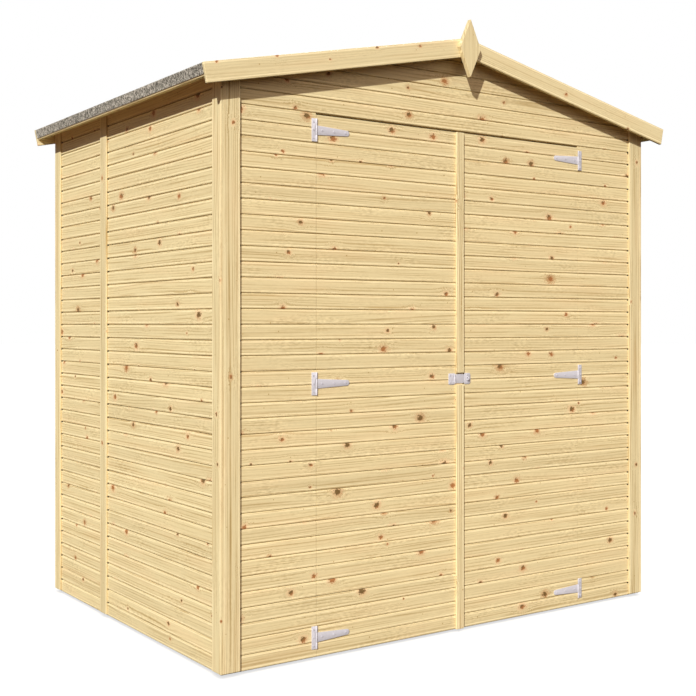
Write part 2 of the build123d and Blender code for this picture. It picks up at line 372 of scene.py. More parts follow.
class Grain:
    """Lays the wood's own coordinates on a piece, one cut of timber for each of its solids."""

    log_length: float = 60.0

    @staticmethod
    def solids(mesh: bpy.types.Mesh, ends: np.ndarray) -> np.ndarray:
        """Number the separate solids of a mesh.

        Args:
            mesh: The mesh.
            ends: Vertex numbers at the ends of each edge.

        Returns:
            For each vertex, the number of its solid.
        """
        label = np.arange(len(mesh.vertices))
        while True:
            before = label.copy()
            low = np.minimum(label[ends[:, 0]], label[ends[:, 1]])
            np.minimum.at(label, ends[:, 0], low)
            np.minimum.at(label, ends[:, 1], low)
            label = label[label]
            if (label == before).all():
                return np.unique(label, return_inverse=True)[1]

    @staticmethod
    def axes(run: np.ndarray, spots: np.ndarray) -> np.ndarray:
        """Directions along, across and through one cut of timber.

        Args:
            run: Unit vector along the grain.
            spots: Places of the timber's vertices.

        Returns:
            The three directions as rows.
        """
        runs_back = abs(run[1]) > abs(run[0]) + abs(run[2])
        level = np.array((1.0, 0.0, 0.0) if runs_back else (0.0, 1.0, 0.0))
        first = level - run * (level @ run)
        first /= np.linalg.norm(first)
        second = np.cross(run, first)
        if np.ptp(spots @ first) < np.ptp(spots @ second):
            first, second = second, first
        return np.array((run, first * np.sign(first[np.abs(first).argmax()]), second))

    @classmethod
    def lay(
        cls,
        piece: bpy.types.Object,
        upright: bool = False,
        hidden: float = 0.0,
        figure: float = 1.0,
        family: str = "",
        rise: float = 1.0,
    ) -> None:
        """Give each vertex its place in the timber, and each solid its own draw of the log.

        Args:
            piece: The wooden piece.
            upright: True where the grain runs up, whatever the longest edge.
            hidden: Width of the tongue along the upper edge, which the next board covers.
            figure: How strongly the rings show.
            family: Pieces of one family are sawn from the same boards, row by row.
            rise: Height of a row.
        """
        mesh = piece.data
        spots = np.empty(len(mesh.vertices) * 3)
        mesh.vertices.foreach_get("co", spots)
        spots = spots.reshape(-1, 3)
        ends = np.empty(len(mesh.edges) * 2, int)
        mesh.edges.foreach_get("vertices", ends)
        ends = ends.reshape(-1, 2)
        solid = cls.solids(mesh, ends)
        runs = spots[ends[:, 1]] - spots[ends[:, 0]]
        lengths = np.linalg.norm(runs, axis=1)
        grain = np.zeros_like(spots)
        lot = np.zeros_like(spots)
        edges = np.zeros_like(spots)
        for number in range(solid.max() + 1):
            mine = solid == number
            own = np.flatnonzero(solid[ends[:, 0]] == number)
            longest = own[lengths[own].argmax()]
            run = np.array((0.0, 0.0, 1.0)) if upright else runs[longest] / lengths[longest]
            run = run * np.sign(run[np.abs(run).argmax()])
            middle = (spots[mine].min(0) + spots[mine].max(0)) / 2
            board = f"{family} {middle[2] // rise}" if family else f"{piece.name} {number}"
            draw = np.random.default_rng(zlib.crc32(board.encode()))
            grain[mine] = (spots[mine] - middle) @ cls.axes(run, spots[mine]).T
            edges[mine] = grain[mine, 1].max() - hidden, grain[mine, 1].min(), figure
            grain[mine, 0] += middle @ run + draw.uniform(0.0, cls.log_length)
            lot[mine] = draw.random(3)
        for name, values in (("grain", grain), ("lot", lot), ("edges", edges)):
            layer = mesh.attributes.new(name, "FLOAT_VECTOR", "POINT")
            layer.data.foreach_set("vector", values.ravel())


@dataclass(frozen=True)
class Wire:
    """A shader value that takes part in sums."""

    sheet: "NodeSheet"
    socket: bpy.types.NodeSocket

    def sum(self, operation: str, *others: "Wire | float", swapped: bool = False) -> "Wire":
        """Add a Math node.

        Args:
            operation: The node's operation.
            others: The other values of the sum.
            swapped: True where this value comes second.

        Returns:
            The result.
        """
        terms = [self, *others]
        if swapped:
            terms.reverse()
        return self.sheet.out("ShaderNodeMath", {"operation": operation}, dict(enumerate(terms)))

    def __add__(self, other: "Wire | float") -> "Wire":
        """Sum of two values."""
        return self.sum("ADD", other)

    __radd__ = __add__

    def __sub__(self, other: "Wire | float") -> "Wire":
        """Difference of two values."""
        return self.sum("SUBTRACT", other)

    def __rsub__(self, other: float) -> "Wire":
        """Difference from a number."""
        return self.sum("SUBTRACT", other, swapped=True)

    def __mul__(self, other: "Wire | float") -> "Wire":
        """Product of two values."""
        return self.sum("MULTIPLY", other)

    __rmul__ = __mul__

    def __truediv__(self, other: "Wire | float") -> "Wire":
        """Quotient of two values."""
        return self.sum("DIVIDE", other)

    def __rtruediv__(self, other: float) -> "Wire":
        """Quotient of a number."""
        return self.sum("DIVIDE", other, swapped=True)

    def __pow__(self, other: "Wire | float") -> "Wire":
        """Power of a value."""
        return self.sum("POWER", other)

    def __lt__(self, other: "Wire | float") -> "Wire":
        """1 where this value is the lower one, or else 0."""
        return self.sum("LESS_THAN", other)

    def root(self) -> "Wire":
        """Square root."""
        return self.sum("SQRT")

    def slant(self, other: "Wire") -> "Wire":
        """Length of the slant over two values at right angles."""
        return (self * self + other * other).root()

    def fraction(self) -> "Wire":
        """Part after the decimal point."""
        return self.sum("FRACT")

    def size(self) -> "Wire":
        """Value without its sign."""
        return self.sum("ABSOLUTE")

    def at_least(self, other: "Wire | float") -> "Wire":
        """The larger of two values."""
        return self.sum("MAXIMUM", other)

    def between(self, low: "Wire | float", high: "Wire | float") -> "Wire":
        """Smooth step from 0 at the low value to 1 at the high one."""
        ends = {"Value": self, "From Min": low, "From Max": high}
        return self.sheet.out("ShaderNodeMapRange", {"interpolation_type": "SMOOTHSTEP"}, ends)


class NodeSheet:
    """The node tree of one material or of the world."""

    def __init__(self, tree: bpy.types.NodeTree) -> None:
        """Start with an empty tree."""
        self.tree = tree
        tree.nodes.clear()

    def node(self, kind: str, settings: dict[str, Any], inputs: dict[str | int, Any]) -> bpy.types.Node:
        """Add a node.

        Args:
            kind: The node's type.
            settings: Its properties, which are set first.
            inputs: Values or wires for its sockets, by name or number.

        Returns:
            The new node.
        """
        node = self.tree.nodes.new(kind)
        for key, value in settings.items():
            setattr(node, key, value)
        for key, value in inputs.items():
            if isinstance(value, Wire):
                self.tree.links.new(value.socket, node.inputs[key])
            else:
                node.inputs[key].default_value = value
        return node

    def out(
        self, kind: str, settings: dict[str, Any], inputs: dict[str | int, Any], output: str | int = 0
    ) -> Wire:
        """Add a node and take one of its outputs.

        Args:
            kind: The node's type.
            settings: Its properties.
            inputs: Values or wires for its sockets.
            output: Name or number of the output.

        Returns:
            The output as a wire.
        """
        return Wire(self, self.node(kind, settings, inputs).outputs[output])

    def split(self, vector: Wire) -> tuple[Wire, Wire, Wire]:
        """Three parts of a vector."""
        node = self.node("ShaderNodeSeparateXYZ", {}, {0: vector})
        return tuple(Wire(self, output) for output in node.outputs)

    def vector(self, x: Wire | float, y: Wire | float, z: Wire | float = 0.0) -> Wire:
        """Vector of three parts."""
        return self.out("ShaderNodeCombineXYZ", {}, {0: x, 1: y, 2: z})

    def attribute(self, name: str, output: str = "Vector") -> Wire:
        """A value that the piece's own mesh carries."""
        return self.out("ShaderNodeAttribute", {"attribute_name": name}, {}, output)

    def place(self) -> Wire:
        """Place on the piece, in metres."""
        return self.out("ShaderNodeTexCoord", {}, {}, "Object")

    def noise(self, place: Wire, detail: float = 2.0, scale: float = 1.0) -> Wire:
        """Soft noise, about 0.5 on the whole."""
        return self.out("ShaderNodeTexNoise", {}, {"Vector": place, "Scale": scale, "Detail": detail})

    def mix(
        self, share: Wire | float, first: Wire | Colour, second: Wire | Colour, blend: str = "MIX"
    ) -> Wire:
        """Blend of two colours.

        Args:
            share: Share of the second colour.
            first: The first colour.
            second: The second colour.
            blend: The way that they blend.

        Returns:
            The blended colour.
        """
        ends = {6: self.paint(first), 7: self.paint(second)}
        return self.out("ShaderNodeMix", {"data_type": "RGBA", "blend_type": blend}, {0: share, **ends}, 2)

    @staticmethod
    def paint(colour: Wire | Colour) -> Wire | tuple[float, float, float, float]:
        """A colour in the form that a socket takes."""
        return colour if isinstance(colour, Wire) else (*colour, 1.0)

    def finish(self, surface: dict[str | int, Any], height: Wire, relief: float) -> None:
        """Close a material with its surface shader.

        Args:
            surface: Values or wires of the shader's sockets.
            height: Height of the relief, from 0 to 1.
            relief: How deep the relief is, in metres.
        """
        bump = {"Height": height, "Distance": relief, "Strength": 1.0}
        normal = self.out("ShaderNodeBump", {}, bump)
        shader = self.out("ShaderNodeBsdfPrincipled", {}, {**surface, "Normal": normal})
        self.node("ShaderNodeOutputMaterial", {}, {"Surface": shader})


@dataclass(frozen=True)
class Noise:
    """Soft noise over two or three values, each with its own scale."""

    scales: tuple[float, ...]
    detail: float = 2.0

    def over(self, *parts: Wire) -> Wire:
        """The noise at a place, about 0.5 on the whole."""
        sheet = parts[0].sheet
        place = sheet.vector(*(part * scale for part, scale in zip(parts, self.scales)))
        return sheet.noise(place, self.detail)


class Finish(ABC):
    """A finish that a piece can have."""

    def material(self, name: str) -> bpy.types.Material:
        """New material with this finish."""
        material = bpy.data.materials.new(name)
        material.use_nodes = True
        self.draw(NodeSheet(material.node_tree))
        return material

    @abstractmethod
    def draw(self, sheet: NodeSheet) -> None:
        """Lay out the finish's nodes."""


@dataclass(frozen=True)
class Spot:
    """The nearest of the spots that are scattered over a board's face."""

    away: Wire
    aside: Wire
    gap: Wire
    lot: tuple[Wire, Wire, Wire]


@dataclass(frozen=True)
class Knots:
    """What the knots do to a board's wood."""

    core: Wire
    halo: Wire
    bend: Wire
    ragged: Wire
    hearts: Wire


@dataclass(frozen=True)
class PineFinish(Finish):
    """Knotty pine, with growth rings that flow round its knots."""

    early: Colour = (0.770, 0.632, 0.356)
    late: Colour = (0.46, 0.310, 0.120)
    rosy: Colour = (0.78, 0.45, 0.24)
    heart: Colour = (0.38, 0.128, 0.036)
    dark_heart: Colour = (0.115, 0.058, 0.012)
    # Painted shade: near-black laid where grooves run under a trim
    hollow_shade: Colour = (0.05, 0.03, 0.012)
    # Painted shade: brown laid over each board's lowest edge, inside its joint, so slots and gaps read as
    # shadow
    joint_shade_colour: Colour = (0.50, 0.30, 0.09)
    joint_shade: float = 0.0
    joint_shade_rise: float = 0.8 * MM
    hollow_shade_share: float = 0.0
    hollow_edge: Span = (2.4 * MM, 3.12 * MM)

    ring: float = 9.0 * MM
    ring_contrast: float = 0.64
    ring_shade: float = 0.08
    late_start: Span = (0.50, 0.88)
    late_end: Span = (0.90, 1.0)
    pith_near: float = 50.0 * MM
    pith_spread: float = 120.0 * MM
    pith_below: float = 50.0 * MM
    drift: Noise = Noise((0.8, 31.0, 17.0), 1.0)
    drift_middle: float = 0.3
    drift_depth: float = 90.0 * MM
    sway: Noise = Noise((1.1, 7.0, 9.0))
    sway_width: float = 14.0 * MM
    years: Noise = Noise((55.0, 41.0, 23.0), 1.0)
    years_spread: float = 2.0
    season: Noise = Noise((70.0, 3.5, 29.0), 1.0)
    season_edge: Span = (0.32, 0.66)

    fibre: Noise = Noise((14.0, 190.0, 190.0), 3.0)
    fibre_share: float = 0.45
    streak: Noise = Noise((1.6, 95.0, 95.0))
    streak_edge: Span = (0.5, 0.78)
    streaks: float = 0.30
    cloud: Noise = Noise((2.2, 14.0, 14.0))
    cloud_edge: Span = (0.45, 0.75)
    cloud_share: float = 0.12
    cloud_shade: float = 0.10
    tone_spread: float = 0.07
    speck: Noise = Noise((62.0, 190.0, 120.0))
    speck_middle: float = 0.46
    specks: float = 0.30
    busy: Noise = Noise((5.0, 16.0, 19.0), 1.0)
    busy_edge: Span = (0.50, 0.70)
    grain_busy: float = 2.2
    grain_calm: float = 0.4
    shade_busy: float = 1.2
    shade_calm: float = 0.3

    # Painted highlights beside both board edges, tinted whiter than the wood
    upper_highlight: float = 0.26
    lower_highlight: float = 0.23
    upper_line: float = 5.2 * MM
    lower_line: float = 7.8 * MM
    line_width: float = 2.4 * MM
    line_core_share: float = 0.4
    uneven: Noise = Noise((22.0, 9.0), 1.0)
    uneven_gain: float = 0.9
    uneven_base: float = 0.55
    glint_tint: Colour = (1.0, 1.12, 1.45)

    knot_run: float = 0.25
    knot_rise: float = 0.085
    knot_shuffle: float = 37.0
    knot_share: float = 0.66
    knot_fade: Span = (0.22, 0.42)
    knot_stretch: float = 0.8
    small_knot: float = 3.2 * MM
    large_knot: float = 12.0 * MM
    ragged: Noise = Noise((150.0, 190.0, 40.0))
    ragged_gain: float = 2.4
    ragged_base: float = 0.2
    core_edge: Span = (0.66, 1.0)
    core_share: float = 0.94
    halo_edge: Span = (0.9, 2.2)
    halo_share: float = 0.44
    bend_reach: float = 2.6
    fleck_edge: Span = (0.42, 0.62)
    fleck_share: float = 0.45
    dark_edge: Span = (0.9, 2.0)
    dark_rise: float = 0.8
    dark_run: float = 0.5
    dark_ragged: float = 0.8
    dark_kind: float = 2.0
    knot_ring: float = 1.6 * MM
    knot_ring_edge: Span = (0.1, 0.9)
    knot_ring_share: float = 0.30

    pin_run: float = 0.16
    pin_rise: float = 48.0 * MM
    pin_shuffle: float = 53.0
    pin_share: float = 0.5
    pin_knot: float = 2.4 * MM
    least_pin: float = 0.6 * MM
    pin_edge: Span = (0.5, 1.2)
    pin_dark: float = 0.9

    saw: Noise = Noise((330.0, 9.0, 9.0), 1.0)
    saw_marks: float = 0.0
    relief: float = 0.35 * MM
    face_height: float = 0.6
    late_dip: float = 0.3
    fibre_dip: float = 0.5
    core_dip: float = 0.25
    roughness: float = 0.58
    fibre_rough: float = 0.16
    core_gloss: float = 0.12
    late_gloss: float = 0.05
    specular: float = 0.32

    def draw(self, sheet: NodeSheet) -> None:
        """Lay out the pine's nodes."""
        along, across, depth = sheet.split(sheet.attribute("grain"))
        pith_side, pith_depth, tone = sheet.split(sheet.attribute("lot"))
        upper, lower, figure = sheet.split(sheet.attribute("edges"))
        below_top = upper - across
        above_foot = across - lower
        knots = self.knots(sheet, along, across, depth, pith_side)
        pin = self.pin(sheet, along, across, pith_depth)

        flow = across - knots.bend
        drift = self.drift.over(along, pith_depth, tone)
        hand = 1.0 - (pith_side < MIDDLE) * 2.0
        beside = flow - (pith_side - MIDDLE) * self.pith_spread - hand * self.pith_near
        below = depth + pith_depth * self.pith_below + (drift - self.drift_middle) * self.drift_depth
        growth = beside.slant(below) + self.sway.over(along, flow, pith_side) * self.sway_width
        years = self.years.over(growth, pith_side, tone)
        turn = (growth / self.ring + years * self.years_spread).fraction()
        late = turn.between(*self.late_start) * (1.0 - turn.between(*self.late_end))
        season = self.season.over(growth, along, tone).between(*self.season_edge)
        fibre = self.fibre.over(along, flow, depth)
        streak = self.streak.over(along, flow, depth).between(*self.streak_edge)
        cloud = self.cloud.over(along, across, depth)
        speck = self.speck.over(along, flow, depth)
        busy = self.busy.over(along, across, pith_depth).between(*self.busy_edge)

        lines = late * season * figure * self.ring_contrast
        flecks = knots.halo * knots.ragged.between(*self.fleck_edge) * self.fleck_share + pin * self.pin_dark
        share = lines + streak * figure * self.streaks + (fibre - MIDDLE) * self.fibre_share + flecks
        grain_gain = busy * self.grain_busy + self.grain_calm
        share = share + (speck - self.speck_middle) * grain_gain * self.specks
        wood = sheet.mix(share.at_least(0.0), self.early, self.late)
        rosy = cloud.between(*self.cloud_edge) * self.cloud_share + knots.halo * self.halo_share
        wood = sheet.mix(rosy, wood, self.rosy)
        shade = (tone - MIDDLE) * self.tone_spread + (cloud - MIDDLE) * self.cloud_shade
        shade = shade + (MIDDLE - turn) * self.ring_shade + 1.0
        shade = shade + (MIDDLE - speck) * (busy * self.shade_busy + self.shade_calm) * self.specks
        # Painted highlight: pale, whitened lines beside each board edge stand for light caught along the V's
        # edges
        glint = self.painted_edge_highlights(along, below_top, above_foot)
        light = sheet.vector(*(shade + glint * part for part in self.glint_tint))
        wood = sheet.mix(1.0, wood, light, "MULTIPLY")
        colour = sheet.mix(knots.core * self.core_share, wood, knots.hearts)
        # Painted shade: faces along the board's lower edge, hidden in each joint, are darkened so that slots
        # and gaps read as shadow
        inside = 1.0 - above_foot.between(0.0, self.joint_shade_rise)
        colour = sheet.mix(inside * self.joint_shade, colour, self.joint_shade_colour, "MULTIPLY")
        # Painted shade: groove ends beside trims are darkened to stand for the unlit hollow under each trim
        off_joint = above_foot.between(*self.hollow_edge) + below_top.between(*self.hollow_edge)
        mouth = sheet.attribute("mouth", "Fac") * (2.0 - off_joint)
        colour = sheet.mix(mouth * self.hollow_shade_share, colour, self.hollow_shade)

        marks = self.saw.over(along, across, depth) * self.saw_marks
        dips = late * self.late_dip + (fibre - MIDDLE) * self.fibre_dip + knots.core * self.core_dip
        rough = self.roughness + (fibre - MIDDLE) * self.fibre_rough
        rough = rough - knots.core * self.core_gloss - late * self.late_gloss
        surface = {"Base Color": colour, "Roughness": rough, "Specular IOR Level": self.specular}
        sheet.finish(surface, self.face_height - dips + marks, self.relief)

    def knots(self, sheet: NodeSheet, along: Wire, across: Wire, depth: Wire, draw: Wire) -> Knots:
        """Ragged knots, either orange-red or dark brown.

        Args:
            sheet: The material's sheet.
            along: Place along the board.
            across: Place across the board.
            depth: Place through the board.
            draw: The board's own random value.

        Returns:
            The knots' share in each part of the wood.
        """
        spot = self.scatter(sheet, along, across, (self.knot_run, self.knot_rise), draw * self.knot_shuffle)
        chance, size, kind = spot.lot
        present = (chance < self.knot_share) * (1.0 - spot.gap.between(*self.knot_fade))
        ragged = self.ragged.over(along, across, depth)
        radius = size * (self.large_knot - self.small_knot) + self.small_knot
        wobble = ragged * self.ragged_gain - self.ragged_base
        reach = (spot.away * self.knot_stretch).slant(spot.aside) * wobble
        rim = reach / radius
        core = (1.0 - rim.between(*self.core_edge)) * present
        halo = (1.0 - rim.between(*self.halo_edge)) * present
        bend = spot.aside * present * self.bend_reach / (rim * rim).at_least(self.bend_reach)
        lean = (spot.aside * self.dark_rise - spot.away * self.dark_run) / radius
        lean = lean + ragged * self.dark_ragged + kind * self.dark_kind
        hearts = sheet.mix(lean.between(*self.dark_edge), self.heart, self.dark_heart)
        rings = (reach / self.knot_ring).fraction().between(*self.knot_ring_edge)
        hearts = sheet.mix(rings * self.knot_ring_share, hearts, self.late)
        return Knots(core, halo, bend, ragged, hearts)

    def pin(self, sheet: NodeSheet, along: Wire, across: Wire, draw: Wire) -> Wire:
        """Small dark pin knots.

        Args:
            sheet: The material's sheet.
            along: Place along the board.
            across: Place across the board.
            draw: The board's own random value.

        Returns:
            1 inside a pin knot, or else 0.
        """
        spot = self.scatter(sheet, along, across, (self.pin_run, self.pin_rise), draw * self.pin_shuffle)
        chance, size, _ = spot.lot
        rim = spot.away.slant(spot.aside) / (size * self.pin_knot + self.least_pin)
        return (1.0 - rim.between(*self.pin_edge)) * (chance < self.pin_share)

    @staticmethod
    def scatter(sheet: NodeSheet, along: Wire, across: Wire, cell: Span, shuffle: Wire) -> Spot:
        """Scatter one spot in each cell of the board's face.

        Args:
            sheet: The material's sheet.
            along: Place along the board.
            across: Place across the board.
            cell: Length and width of a cell.
            shuffle: Shift of this board's cells, in cells.

        Returns:
            The nearest spot.
        """
        run = along / cell[0]
        rise = across / cell[1] + shuffle
        flat = {"voronoi_dimensions": "2D", "feature": "F1"}
        spread = {"Vector": sheet.vector(run, rise), "Scale": 1.0, "Randomness": SCATTER}
        node = sheet.node("ShaderNodeTexVoronoi", flat, spread)
        spot_run, spot_rise, _ = sheet.split(Wire(sheet, node.outputs["Position"]))
        lot = sheet.split(Wire(sheet, node.outputs["Color"]))
        gap = Wire(sheet, node.outputs["Distance"])
        return Spot((run - spot_run) * cell[0], (rise - spot_rise) * cell[1], gap, lot)

    def painted_edge_highlights(self, along: Wire, below_top: Wire, above_foot: Wire) -> Wire:
        """Painted highlights: pale lines beside both edges of a board, standing for light caught along the
        edges of each V.

        Args:
            along: Place along the board.
            below_top: Distance from the upper edge.
            above_foot: Distance from the lower edge.

        Returns:
            How much the painted highlight lightens the wood there.
        """
        uneven = self.uneven.over(along, below_top) * self.uneven_gain + self.uneven_base
        edge = (self.line_width * self.line_core_share, self.line_width)
        near_top = 1.0 - (below_top - self.upper_line).size().between(*edge)
        near_foot = 1.0 - (above_foot - self.lower_line).size().between(*edge)
        return (near_top * self.upper_highlight + near_foot * self.lower_highlight) * uneven


@dataclass(frozen=True)
class FeltFinish(Finish):
    """Roofing felt, covered with coarse mineral grit."""

    dark: Colour = (0.09, 0.081, 0.067)
    pale: Colour = (0.72, 0.66, 0.57)
    green: Colour = (0.20, 0.195, 0.15)
    bitumen: Colour = (0.040, 0.038, 0.036)
    grit: float = 4.4 * MM
    grit_share: float = 0.62
    patch_scale: float = 120.0
    patch_share: float = 1.2
    worn_scale: float = 4.0
    worn_share: float = 0.25
    base_tone: float = 0.12
    tone_edge: Span = (0.05, 0.95)
    green_edge: Span = (0.4, 1.0)
    green_share: float = 0.5
    bare_share: float = 0.85
    round_share: float = 0.6
    lift_share: float = 0.4
    roughness: float = 0.78
    rough_spread: float = 0.15
    specular: float = 0.25
    relief: float = 0.9 * MM

    @staticmethod
    def mark(piece: bpy.types.Object, tone: float, bare: Callable[[Vector], bool]) -> None:
        """Give a sheet of felt its own tone and leave part of it without grit.

        Args:
            piece: The sheet.
            tone: How much lighter the sheet is than the rest.
            bare: Says whether a place on the sheet is bare bitumen.
        """
        layer = piece.data.attributes.new("felt", "FLOAT_VECTOR", "FACE")
        for face in piece.data.polygons:
            layer.data[face.index].vector = (tone, float(bare(face.center)), 0.0)

    def draw(self, sheet: NodeSheet) -> None:
        """Lay out the felt's nodes."""
        place = sheet.place()
        tone, bare, _ = sheet.split(sheet.attribute("felt"))
        grain = sheet.node("ShaderNodeTexVoronoi", {}, {"Vector": place, "Scale": 1.0 / self.grit})
        shade, hue, lift = sheet.split(Wire(sheet, grain.outputs["Color"]))
        patch = sheet.noise(place, scale=self.patch_scale)
        worn = sheet.noise(place, scale=self.worn_scale)
        light = shade * self.grit_share + (patch - MIDDLE) * self.patch_share
        light = light + (worn - MIDDLE) * self.worn_share + tone + self.base_tone
        stone = sheet.mix(light.between(*self.tone_edge), self.dark, self.pale)
        colour = sheet.mix(hue.between(*self.green_edge) * self.green_share, stone, self.green)
        colour = sheet.mix(bare * self.bare_share, colour, self.bitumen)
        round_top = 1.0 - Wire(sheet, grain.outputs["Distance"])
        height = round_top * self.round_share + lift * self.lift_share
        rough = shade * self.rough_spread + self.roughness
        surface = {"Base Color": colour, "Roughness": rough, "Specular IOR Level": self.specular}
        sheet.finish(surface, height, self.relief)


@dataclass(frozen=True)
class ZincFinish(Finish):
    """Bright zinc plate with faint crystals."""

    colour: Colour = (0.62, 0.60, 0.65)
    dull: Colour = (0.57, 0.55, 0.60)
    crystal: float = 5.0 * MM
    crystal_share: float = 0.5
    film_scale: float = 60.0
    film_detail: float = 3.0
    film_edge: Span = (0.45, 0.7)
    film_share: float = 0.4
    roughness: float = 0.50
    crystal_rough: float = 0.10
    film_rough: float = 0.16
    metallic: float = 0.05
    relief: float = 0.08 * MM

    def draw(self, sheet: NodeSheet) -> None:
        """Lay out the zinc's nodes."""
        place = sheet.place()
        grain = sheet.node("ShaderNodeTexVoronoi", {}, {"Vector": place, "Scale": 1.0 / self.crystal})
        shade, turn, _ = sheet.split(Wire(sheet, grain.outputs["Color"]))
        film = sheet.noise(place, self.film_detail, self.film_scale)
        dulled = shade * self.crystal_share + film.between(*self.film_edge) * self.film_share
        colour = sheet.mix(dulled, self.colour, self.dull)
        rough = turn * self.crystal_rough + film * self.film_rough + self.roughness
        surface = {"Base Color": colour, "Roughness": rough, "Metallic": self.metallic}
        sheet.finish(surface, film, self.relief)


@dataclass(frozen=True)
class StudioFloorFinish(Finish):
    """Pale matt studio floor."""

    colour: Colour = (0.93, 0.93, 0.925)
    shade: Colour = (0.90, 0.90, 0.895)
    cloud_scale: float = 0.7
    roughness: float = 0.9
    relief: float = 0.1 * MM

    def draw(self, sheet: NodeSheet) -> None:
        """Lay out the floor's nodes."""
        cloud = sheet.noise(sheet.place(), scale=self.cloud_scale)
        colour = sheet.mix(cloud, self.colour, self.shade)
        surface = {"Base Color": colour, "Roughness": self.roughness, "Specular IOR Level": 0.0}
        sheet.finish(surface, cloud, self.relief)


class Finishes:
    """The finishes of the shed, one material for each slot."""

    def __init__(self) -> None:
        """Make each slot's material."""
        kinds: dict[Slot, Finish] = {
            # Cladding paints shade in its joints and at the groove ends beside trims
            Slot.CLADDING: PineFinish(joint_shade=0.75, hollow_shade_share=0.9),
            Slot.TRIM: PineFinish(
                early=(0.765, 0.637, 0.368),
                knot_run=0.20,
                knot_share=0.55,
                small_knot=2.2 * MM,
                large_knot=6.5 * MM,
                specks=0.16,
                tone_spread=0.05,
                ring=8.0 * MM,
                ring_contrast=0.9,
                streaks=0.5,
            ),
            Slot.FRAMING: PineFinish(
                saw_marks=0.35, roughness=0.72, relief=0.5 * MM, upper_highlight=0.05, lower_highlight=0.05
            ),
            Slot.BOARDS: PineFinish(roughness=0.66, upper_highlight=0.05, lower_highlight=0.05),
            Slot.FELT: FeltFinish(),
            Slot.ZINC: ZincFinish(),
        }
        self.materials = {slot: finish.material(slot.value) for slot, finish in kinds.items()}

    def dress(self, piece: bpy.types.Object, slot: Slot, body: Body, *nodes: str) -> bpy.types.Object:
        """Give a piece its finish, hang it on its body and let it stand for its solids.

        Args:
            piece: The modelled piece.
            slot: The finish's slot.
            body: The body that carries the piece.
            nodes: The solids that the piece stands for.

        Returns:
            The dressed piece.
        """
        piece.data.materials.clear()
        piece.data.materials.append(self.materials[slot])
        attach(piece, body.value)
        if nodes:
            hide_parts(*nodes)
        return piece


@dataclass(frozen=True)
class RoofLine:
    """Underside of the roof decks, as the gable meets it."""

    apex: float
    slope: float

    @classmethod
    def of_frame(cls) -> "RoofLine":
        """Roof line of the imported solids."""
        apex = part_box("front_gable")[1].z
        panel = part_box("right_front_panel")
        return cls(apex, (apex - panel[1].z) / panel[0].x)

    @property
    def pitch(self) -> float:
        """Angle of the slopes."""
        return math.atan(self.slope)

    @property
    def ridge(self) -> Vector:
        """A point on the line where the undersides meet."""
        return Vector((0, 0, self.apex))

    def outward(self, side: Side) -> Vector:
        """Unit vector up out of a slope."""
        return Vector((side.value * math.sin(self.pitch), 0, math.cos(self.pitch)))

    def tilt(self, side: Side) -> Matrix:
        """Turns and moves what lies level at the origin onto a slope, from the ridge down."""
        return Matrix.Translation(self.ridge) @ Matrix.Rotation(side.value * self.pitch, 4, "Y")

    def run_to(self, height: float) -> float:
        """Length of the slope from the ridge down to a height."""
        return (self.apex - height) / math.sin(self.pitch)


class SubAssembly(ABC):
    """A part of the shed that is modelled and dressed together."""

    @abstractmethod
    def build(self, finishes: Finishes) -> list[bpy.types.Object]:
        """Model and dress the pieces.

        Args:
            finishes: The shed's finishes.

        Returns:
            The finished pieces.
        """


